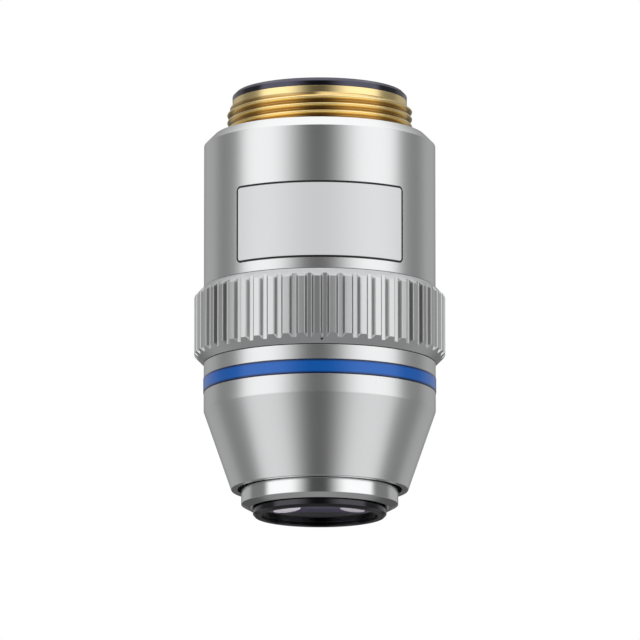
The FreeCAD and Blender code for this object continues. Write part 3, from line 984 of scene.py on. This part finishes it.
def pin_window():
    """Cutter for the window in which the drive pin swings and slides."""
    half_turn = cam_turn + (pin_radius + pin_play) / barrel_bore
    low = pin_height - pin_radius - pin_play
    high = pin_height + pin_radius + pin_play + nose_travel
    inner, outer = barrel_bore - overrun, barrel_radius + overrun
    section = [(inner, low), (outer, low), (outer, high), (inner, high)]
    shares = [2 * index / window_steps - 1 for index in range(window_steps + 1)]
    return loft([swing(section, math.pi / 2 + half_turn * share) for share in shares], closed=False)


def guide_hole():
    """Cutter for the hole that holds the nose's guide pin."""
    low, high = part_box("nose_guide_pin")
    mesh = bmesh.new()
    size = {"radius1": high.y, "radius2": high.y, "depth": hole_length * MM}
    bmesh.ops.create_cone(mesh, cap_ends=True, segments=hole_sides, **size)
    for vertex in mesh.verts:
        x, y, z = vertex.co
        vertex.co = Vector((z + high.x, y, x + (low.z + high.z) / 2))
    return mesh


print(f"drive pin at {pin_height:.2f} mm, radius {pin_radius:.2f} mm")

# %% [markdown]
# The barrel is turned with many close rows where the thread will be, then it is milled, and the thread is
# cut last. The wave starts a hair above the shoulder, which keeps its own edge.

# %% Main barrel
rows_per_turn = 18
relief_radius = ring_radius
thread_chamfer = 0.3
neck_radius = 10.5
neck_bottom = -2.0
barrel_bottom = bottom("main_barrel")
rear_bore = 8.3
spring_seat = -3.0
hair = 0.001


def thread_rows():
    """Close rows along the thread, from its chamfered end down to the shoulder."""
    length = thread_top - thread_chamfer
    count = round(length / thread_pitch * rows_per_turn)
    return [(thread_radius, length * (1 - index / count), 0.0) for index in range(count + 1)]


main_barrel = turn_piece("main_barrel_turned", [
    (rear_bore, spring_seat, 0.05),
    (rear_bore, relief_top, 0.03),
    (relief_radius, relief_top, 0.03),
    (relief_radius, thread_top, 0.0),
    (thread_radius - thread_chamfer, thread_top, 0.0),
] + thread_rows() + [
    (neck_radius, 0.0, 0.05),
    (neck_radius, neck_bottom, 0.05),
    (barrel_radius, neck_bottom, 0.05),
    (barrel_radius, barrel_bottom, 0.05),
    (barrel_bore, barrel_bottom, 0.05),
    (barrel_bore, spring_seat, 0.0),
], "turned_brass")
mill(main_barrel, pin_window(), guide_hole())
grow(
    main_barrel,
    make_thread_tree(),
    pitch=thread_pitch * MM,
    depth=thread_depth * MM,
    crest_radius=thread_radius * MM,
    foot=hair * MM,
    head=(thread_top + hair) * MM,
    phase=thread_phase,
    material=finishes["turned_brass"],
)
settle(main_barrel, "root", "turned_brass", "main_barrel")

# %% [markdown]
# The upper sleeve slides over the barrel and seats on its shoulder. The wide bevel at its top is polished by
# the same tool as the wall, so the two share one finish and only the edge between them shines.

# %% Upper sleeve
sleeve_end = bottom("upper_sleeve")
sleeve_bevel = 1.1

upper_sleeve = turn_piece("upper_sleeve_turned", [
    (neck_radius + slip, neck_bottom, 0.0),
    (neck_radius + slip, 0.0, 0.04),
    (sleeve_radius - sleeve_bevel, 0.0, 0.08),
    (sleeve_radius, -sleeve_bevel, 0.1),
    (sleeve_radius, sleeve_end, 0.06),
    (barrel_radius + slip, sleeve_end, 0.04),
    (barrel_radius + slip, neck_bottom, 0.0),
], "satin_chrome")
settle(upper_sleeve, "root", "satin_chrome", "upper_sleeve")

# %% [markdown]
# The name field is a foil five hundredths of a millimetre thick, bent round the sleeve. It is lofted from
# upright columns. Near its two ends the columns get shorter along a quarter circle, which rounds the
# corners.

# %% Name field foil
foil_front = outer_radius("name_field")
foil_columns = 96
corner_columns = 8


def foil_places():
    """Distances round the sleeve at which the foil gets a column, with the half height there."""
    half_height = (field_high - field_low) / 2
    straight = field_half_width - field_corner
    places = []
    for index in range(corner_columns):
        lean = math.pi / 2 * index / corner_columns
        half = half_height - field_corner * (1 - math.sin(lean))
        places.append((straight + field_corner * math.cos(lean), half))
    left = [(-along, half) for along, half in places]
    middle = [straight * (2 * index / foil_columns - 1) for index in range(foil_columns + 1)]
    return left + [(along, half_height) for along in middle] + places[::-1]


def foil_column(along, half):
    """Closed loop of the foil's cross-section at one place."""
    centre = (field_low + field_high) / 2
    loop = rounded([
        (sleeve_radius, centre - half, 0.0),
        (foil_front, centre - half, 0.02),
        (foil_front, centre + half, 0.02),
        (sleeve_radius, centre + half, 0.0),
    ])
    return swing(loop, along / sleeve_radius - math.pi / 2)


foil_mesh = loft([foil_column(along, half) for along, half in foil_places()], closed=False)
name_foil = finish_piece("name_foil", foil_mesh, "name_field")
settle(name_foil, "root", "name_field", "name_field")

# %% [markdown]
# The correction collar is the part that fingers turn, and fifty straight flutes give them hold. One flute is
# modelled with care, on a strip an eighth of a radian wide. The flutes run out through the bevels, so each
# column of the strip starts its bevel at its own radius.

# %% One flute
collar_low, collar_top = bottom("fluted_collar"), top("fluted_collar")
collar_bevel = 1.0
flute_count = 50
flute_width = 1.05
flute_floor = 0.45
skin_radius = 12.4


def flute_section():
    """Outer outline of one flute, as (angle, radius) pairs from the middle of one land to the next."""
    half_pitch = math.pi / flute_count
    floor_radius = collar_radius - flute_depth
    land = collar_radius * math.sin(half_pitch)
    drop = collar_radius * math.cos(half_pitch)
    lip = math.sqrt(collar_radius**2 - flute_width**2 / 4)
    outline = rounded([
        (-land, drop, 0.0),
        (-flute_width / 2, lip, 0.07),
        (-flute_floor / 2, floor_radius, 0.08),
        (flute_floor / 2, floor_radius, 0.08),
        (flute_width / 2, lip, 0.07),
        (land, drop, 0.0),
    ], closed=False)
    return [(math.atan2(across, out), math.hypot(across, out)) for across, out in outline]


def collar_column(angle, radius):
    """Closed loop of the collar's skin at one angle, bevelled out to that angle's own radius."""
    start = collar_radius - collar_bevel
    climb = radius - start
    loop = rounded([
        (skin_radius, collar_low, 0.0),
        (start, collar_low, 0.05),
        (radius, collar_low + climb, 0.09),
        (radius, collar_top - climb, 0.09),
        (start, collar_top, 0.05),
        (skin_radius, collar_top, 0.0),
    ])
    return swing(loop, angle)


def flute_strip():
    """Open strip of the collar with one flute in its middle."""
    mesh = loft([collar_column(angle, radius) for angle, radius in flute_section()], closed=False)
    ends = [face for face in mesh.faces if len(face.verts) > 4]
    bmesh.ops.delete(mesh, geom=ends, context="FACES_ONLY")
    return mesh


collar = finish_piece("fluted_collar_turned", flute_strip(), "milled_chrome")
print(f"one flute: {len(collar.data.polygons)} faces")

# %% [markdown]
# Geometry Nodes repeat the strip round the axis, one copy for each flute, and weld the copies into a ring.

# %% Repeat the flute
flute_phase = math.radians(-87.6)
weld_gap = 0.01


def make_repeat_tree():
    """Geometry nodes that copy a strip round the axis and weld the copies into a ring."""
    tree, entry = start_tree("repeat_round_axis", ("Phase", "Weld"), counts=("Count",))
    points = add(tree, "GeometryNodePoints", Count=entry["Count"]).outputs[0]
    number = add(tree, "GeometryNodeInputIndex").outputs[0]
    step = maths(tree, "DIVIDE", math.tau, entry["Count"])
    angle = maths(tree, "ADD", maths(tree, "MULTIPLY", number, step), entry["Phase"])
    turned = combine(tree, 0.0, 0.0, angle)
    strip = entry["Geometry"]
    copies = add(tree, "GeometryNodeInstanceOnPoints", Points=points, Instance=strip, Rotation=turned)
    plain = add(tree, "GeometryNodeRealizeInstances", copies.outputs[0]).outputs[0]
    ring = add(tree, "GeometryNodeMergeByDistance", Geometry=plain, Distance=entry["Weld"]).outputs[0]
    close_tree(tree, ring, entry["Material"])
    return tree


grow(
    collar,
    make_repeat_tree(),
    count=flute_count,
    phase=flute_phase,
    weld=weld_gap * MM,
    material=finishes["milled_chrome"],
)

# %% [markdown]
# Inside the skin lies a plain ring, with a groove along its bore in which the drive pin slides. The two are
# joined into one piece, which rides on the collar's own body.

# %% Core of the collar
collar_bore = barrel_radius + 0.05
key_floor_radius = 12.2
key_half_width = pin_radius + 0.06
collar_crease_deg = 40.0


def core_loop(inner, angle):
    """Closed loop of the ring inside the skin at one angle."""
    low_edge = [(inner, collar_low), (skin_radius, collar_low)]
    high_edge = [(skin_radius, collar_top), (inner, collar_top)]
    return swing(low_edge + high_edge, angle)


def collar_core():
    """Ring inside the skin, with the groove that the drive pin slides in."""
    groove_angle = math.pi / 2
    wall_turn = math.asin(key_half_width / collar_bore)
    floor_turn = math.asin(key_half_width / key_floor_radius)
    step = (math.tau - 2 * wall_turn) / segments
    start = groove_angle + wall_turn
    columns = [core_loop(collar_bore, start + step * index) for index in range(segments + 1)]
    columns.append(core_loop(key_floor_radius, groove_angle - floor_turn))
    columns.append(core_loop(key_floor_radius, groove_angle + floor_turn))
    return loft(columns, closed=True)


core = finish_piece("collar_core", collar_core(), "milled_chrome")
both = bmesh.new()
both.from_mesh(collar.data)
both.from_mesh(core.data)
bpy.data.objects.remove(core)
bpy.data.objects.remove(collar)
collar = finish_piece("fluted_collar_turned", both, "milled_chrome", sharp_deg=collar_crease_deg)
settle(collar, "collar", "satin_chrome", "fluted_collar")

# %% [markdown]
# A small dark pointer on the collar's lower bevel shows how far it has been turned. It is a thin triangular
# chip, tip down, set on the bevel, and it rides with the collar.

# %% Index pointer
pointer_angle = math.radians(-89.0)
pointer_half_width = 0.2
pointer_height = 0.32
pointer_thickness = 0.02
slant = math.sqrt(0.5)


def pointer_point(across, drop, lift):
    """Point on the lower bevel: across it, down it from the pointer's base, and lifted off it."""
    along = collar_bevel * 0.5 - drop * slant
    radius = collar_radius - collar_bevel + along + lift * slant
    height = collar_low + along - lift * slant
    return swing([(radius, height)], pointer_angle + across / radius)[0]


pointer_corners = [(-pointer_half_width, 0.0), (pointer_half_width, 0.0), (0.0, pointer_height)]
pointer_mesh = loft([
    [pointer_point(across, drop, lift) for across, drop in pointer_corners]
    for lift in (-pointer_thickness, pointer_thickness)
], closed=False)
pointer = finish_piece("index_pointer", pointer_mesh, "black_anodised")
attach(pointer, "collar")
print(f"{pointer.name}: {len(pointer.data.polygons)} faces on collar")

# %% [markdown]
# The lower sleeve has a shallow groove for the colour, a straight stretch and then a long taper to the
# mouth. Inside is the ledge that stops the nose when its spring pushes it out.

# %% Lower sleeve
lower_top, mouth = top("lower_sleeve"), bottom("lower_sleeve")
straight_length = 5.25
cone_start = lower_top - straight_length
band_low, band_high = bottom("colour_band"), top("colour_band")
band_floor = sleeve_radius - 0.35
mouth_radius = 9.0
mouth_land = 0.67
nose_stop = -30.4

lower_sleeve = turn_piece("lower_sleeve_turned", [
    (mouth_radius, mouth, 0.08),
    (mouth_radius + mouth_land, mouth, 0.1),
    (sleeve_radius, cone_start, 0.5),
    (sleeve_radius, band_low, 0.08),
    (band_floor, band_low, 0.0),
    (band_floor, band_high, 0.0),
    (sleeve_radius, band_high, 0.08),
    (sleeve_radius, lower_top, 0.08),
    (barrel_radius + slip, lower_top, 0.04),
    (barrel_radius + slip, barrel_bottom, 0.0),
    (barrel_bore, barrel_bottom, 0.0),
    (barrel_bore, nose_stop, 0.0),
    (mouth_radius, nose_stop, 0.05),
], "satin_chrome")
settle(lower_sleeve, "root", "satin_chrome", "lower_sleeve")

# %% [markdown]
# The band of enamel fills the groove and stands proud of it by a hair, with rounded shoulders, as a poured
# line does.

# %% Colour band
colour_band = turn_piece("colour_band_turned", [
    (band_floor, band_low, 0.0),
    (outer_radius("colour_band"), band_low, 0.05),
    (outer_radius("colour_band"), band_high, 0.05),
    (band_floor, band_high, 0.0),
], "blue_enamel")
settle(colour_band, "root", "blue_enamel", "colour_band")

# %% [markdown]
# The nose barrel is the bright ring that shows in the mouth. Most of it is hidden: it runs up through the
# whole lens and carries every glass. It is turned first, with a flange that slides in the barrel's bore.

# %% Nose barrel
nose_radius = 8.58
nose_face = bottom("nose_barrel")
nose_top = top("nose_barrel")
nose_slope = 0.5
recess_radius = 7.66
recess_top = nose_face + 0.7
nose_bore = 6.95
flange_radius = 9.9
flange_top = -26.0
spring_low, spring_high = bottom("return_spring"), top("return_spring")
rear_radius = 8.0
rear_bore_radius = 6.7
web_radius = 5.6
rear_seat = bottom("aperture_stop")
web_low = rear_seat - 1.0

nose = turn_piece("nose_barrel_turned", [
    (recess_radius, nose_face, 0.06),
    (nose_radius, nose_face + nose_slope, 0.08),
    (nose_radius, nose_stop, 0.0),
    (flange_radius, nose_stop, 0.05),
    (flange_radius, flange_top, 0.05),
    (nose_radius, flange_top, 0.0),
    (nose_radius, spring_low, 0.05),
    (rear_radius, spring_low, 0.0),
    (rear_radius, nose_top, 0.08),
    (rear_bore_radius, nose_top, 0.08),
    (rear_bore_radius, rear_seat, 0.0),
    (web_radius, rear_seat, 0.04),
    (web_radius, web_low, 0.04),
    (nose_bore, web_low, 0.0),
    (nose_bore, recess_top, 0.0),
    (recess_radius, recess_top, 0.0),
], "bright_chrome")
print(f"{nose.name}: {nose_top - nose_face:.2f} mm long")

# %% [markdown]
# Two cuts follow on the milling machine, so that the pins inside fit: a slot through the wall for the
# follower pin, and a groove along the flange for the guide pin.

# %% Slots of the nose barrel
follower_radius = (top("follower_pin") - bottom("follower_pin")) / 2
follower_travel = 0.6
slot_play = 0.06
slot_end_play = 0.1
slot_reach = 3.6
slot_inset = 0.3
guide_half_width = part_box("nose_guide_pin")[1].y / MM + slot_play
groove_floor = 9.0
groove_reach = 1.9

slot_length = 2 * (follower_travel + follower_radius + slot_end_play)
follower_slot = block(
    (2 * (follower_radius + slot_play), slot_reach, slot_length),
    (0.0, slot_inset - nose_radius, pin_height),
)
guide_groove = block(
    (groove_reach, 2 * guide_half_width, flange_top - nose_stop + 2 * overrun),
    (groove_floor + groove_reach / 2, 0.0, (flange_top + nose_stop) / 2),
)
mill(nose, follower_slot, guide_groove)
settle(nose, "nose", "bright_chrome", "nose_barrel")

# %% [markdown]
# The front cell holds the first two lenses, with a thin web between them. Its flange is the black ring round
# the front glass.

# %% Front cell
front_face = bottom("front_cell")
front_top = top("front_cell")
front_radius = outer_radius("front_cell")
front_bevel = 0.25
front_opening = 6.4
front_rim = bottom("front_lens")
front_body = 6.94
lens_bore = outer_radius("front_lens") + slip
second_bore = outer_radius("second_lens") + slip
cell_web_low = -38.848
cell_web_high = bottom("second_lens")
cell_web_radius = 5.6

front_cell = turn_piece("front_cell_turned", [
    (front_opening, front_face, 0.08),
    (front_radius - front_bevel, front_face, 0.08),
    (front_radius, front_face + front_bevel, 0.08),
    (front_radius, recess_top, 0.0),
    (front_body, recess_top, 0.0),
    (front_body, front_top, 0.03),
    (second_bore, front_top, 0.03),
    (second_bore, cell_web_high, 0.0),
    (cell_web_radius, cell_web_high, 0.0),
    (cell_web_radius, cell_web_low, 0.0),
    (lens_bore, cell_web_low, 0.0),
    (lens_bore, front_rim, 0.0),
    (front_opening, front_rim, 0.04),
], "black_front")
settle(front_cell, "nose", "black_anodised", "front_cell")
print(f"web from {cell_web_low} to {cell_web_high:.3f} mm")

# %% [markdown]
# The return spring presses the nose out. Its wire follows a rule as well, so Geometry Nodes draw it: a
# spiral curve, swept with a small circle, with both ends ground flat so that they bear evenly.

# %% Coil of the return spring
wire_radius = 0.5
spring_turns = 5.0
steps_per_turn = 72
wire_sides = 16


def make_spring_tree():
    """Geometry nodes for a coil with ground ends between two heights."""
    sizes = ("Low", "High", "Coil Radius", "Wire Radius", "Turns")
    tree, entry = start_tree("coil_spring", sizes)
    low, high, coil, wire, turns = (entry[name] for name in sizes)
    spiral = add(
        tree,
        "GeometryNodeCurveSpiral",
        Resolution=steps_per_turn,
        Rotations=turns,
        Start_Radius=coil,
        End_Radius=coil,
        Height=maths(tree, "SUBTRACT", high, low),
    ).outputs[0]
    section = add(tree, "GeometryNodeCurvePrimitiveCircle", Resolution=wire_sides, Radius=wire).outputs[0]
    sweep = add(tree, "GeometryNodeCurveToMesh", Curve=spiral, Profile_Curve=section, Fill_Caps=True)
    x, y, z, _ = split_position(tree, add(tree, "GeometryNodeInputPosition").outputs[0])
    raised = maths(tree, "ADD", z, low)
    ground = maths(tree, "MINIMUM", maths(tree, "MAXIMUM", raised, low), high)
    close_tree(tree, move_points(tree, sweep.outputs[0], x, y, ground), entry["Material"])
    return tree


print(f"spring: {spring_turns:.0f} turns over {spring_high - spring_low:.2f} mm")

# %% [markdown]
# The tree needs some mesh to start from, and a single point is enough.

# %% Return spring
spring_seed = bmesh.new()
spring_seed.verts.new((0.0, 0.0, 0.0))
spring = finish_piece("return_spring_wound", spring_seed, "spring_steel")
grow(
    spring,
    make_spring_tree(),
    low=spring_low * MM,
    high=spring_high * MM,
    coil_radius=(outer_radius("return_spring") - wire_radius) * MM,
    wire_radius=wire_radius * MM,
    turns=spring_turns,
    material=finishes["spring_steel"],
)
spring.data.shade_smooth()
settle(spring, "root", "spring_steel", "return_spring")
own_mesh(spring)

# %% [markdown]
# The pieces that stay as the engineering model has them get the finish of their material slot, so every part
# inside looks right as well when the lens is opened or drawn from above.

# %% Dress the inner pieces
for node in frame["nodes"].values():
    for material_slot in node.material_slots:
        finish_name = material_slot.material.name.split(".")[0] if material_slot.material else ""
        if finish_name in finishes:
            material_slot.material = finishes[finish_name]
print("dressed", len(frame["nodes"]), "nodes")

# %% [markdown]
# Three small lamps stand behind the lens, just under its nose. Their only task is to draw two bright
# crescents, with a violet band between them, on the hollow face of the front glass, as in the photograph.
# Light linking keeps their light on that glass alone. A lamp's place follows from a ray that comes from the
# camera and bounces off the glass at the spot where the lamp should show.

# %% Lamps for the front glass
hollow_depth = 0.35
hollow_radius = 6.3
hollow_slope = 2 * hollow_depth / hollow_radius**2
glint_across = 3.9
glint_forward = 1.2
glint_height = 0.1
lamp_distance = 60.0
warm_white = (1.0, 0.93, 0.96)
violet = (0.32, 0.22, 1.0)

lit_glass = bpy.data.collections.new("lit_glass")
lit_glass.objects.link(frame["nodes"]["front_lens"])


def glint_lamp(name, across, size, radiance, colour):
    """Oval lamp that the camera sees in the front glass, at a place across it."""
    spot = Vector((across, -glint_forward, front_rim + glint_height))
    facing = Vector((-spot.x * hollow_slope, -spot.y * hollow_slope, -1.0)).normalized()
    ray = Vector((0.0, math.cos(camera_elevation), -math.sin(camera_elevation)))
    reflected = ray - 2 * ray.dot(facing) * facing
    data = bpy.data.lights.new(name, "AREA")
    data.shape = "ELLIPSE"
    data.size = size[0] * MM
    data.size_y = size[1] * MM
    area = data.size * data.size_y * math.pi / 4
    data.energy = radiance * math.pi * area
    data.color = colour
    lamp = bpy.data.objects.new(name, data)
    lamp.location = (spot + reflected * lamp_distance) * MM
    lamp.rotation_mode = "QUATERNION"
    lamp.rotation_quaternion = (-reflected).to_track_quat("-Z", "Y")
    lamp.visible_camera = False
    lamp.light_linking.receiver_collection = lit_glass
    bpy.context.scene.collection.objects.link(lamp)
    print(name, "at", [round(value / MM, 1) for value in lamp.location])


glint_lamp("glint_left", -glint_across, (2.1, 8.0), 1.3, warm_white)
glint_lamp("glint_right", glint_across, (1.9, 7.0), 1.0, warm_white)
glint_lamp("violet_band", 0.0, (14.0, 9.0), 0.09, violet)

# %% [markdown]
# The lens stands on its nose on a pale floor. Seen from above the floor is a matt sheet that fades into the
# white background. The photograph looks up from below the nose, so from below, and in reflections, the sheet
# is clear: a material can tell which side is seen with the Backfacing output.

# %% Floor finish
floor_half = 0.25
fade_start = 0.25 * floor_half
fade_end = 0.95 * floor_half

floor_finish = Finish("pale_floor", Base_Color=(0.93, 0.93, 0.92, 1.0), Roughness=0.7)
floor_tree = floor_finish.tree
near = floor_finish.effect(radius_mask, Inner=fade_end, Outer=fade_start)
below = add(floor_tree, "ShaderNodeNewGeometry").outputs["Backfacing"]
from_above = maths(floor_tree, "SUBTRACT", 1.0, below)
by_camera = add(floor_tree, "ShaderNodeLightPath").outputs["Is Camera Ray"]
shown = maths(floor_tree, "MULTIPLY", maths(floor_tree, "MULTIPLY", from_above, by_camera), near)
clear = add(floor_tree, "ShaderNodeBsdfTransparent").outputs[0]
mixer = add(floor_tree, "ShaderNodeMixShader", shown, clear, floor_finish.shader.outputs[0])
floor_tree.links.new(mixer.outputs[0], floor_tree.nodes["Material Output"].inputs["Surface"])
print("floor finish in", len(floor_tree.nodes), "nodes")

# %% [markdown]
# The sheet itself is a plain disc at the height of the nose's front face. It is not part of the lens.

# %% Floor
floor_mesh = bmesh.new()
bmesh.ops.create_circle(floor_mesh, cap_ends=True, segments=64, radius=floor_half)
bmesh.ops.translate(floor_mesh, verts=floor_mesh.verts, vec=(0.0, 0.0, front_face * MM))
floor_data = bpy.data.meshes.new("floor")
floor_mesh.to_mesh(floor_data)
floor_mesh.free()
floor_data.materials.append(floor_finish.material)
floor = bpy.data.objects.new("floor", floor_data)
bpy.context.scene.collection.objects.link(floor)
print(f"floor: {2 * floor_half} m across at {front_face:.2f} mm")

# %% [markdown]
# At the end the scene is brought up to date.

# %% Bring the scene up to date
bpy.context.view_layer.update()
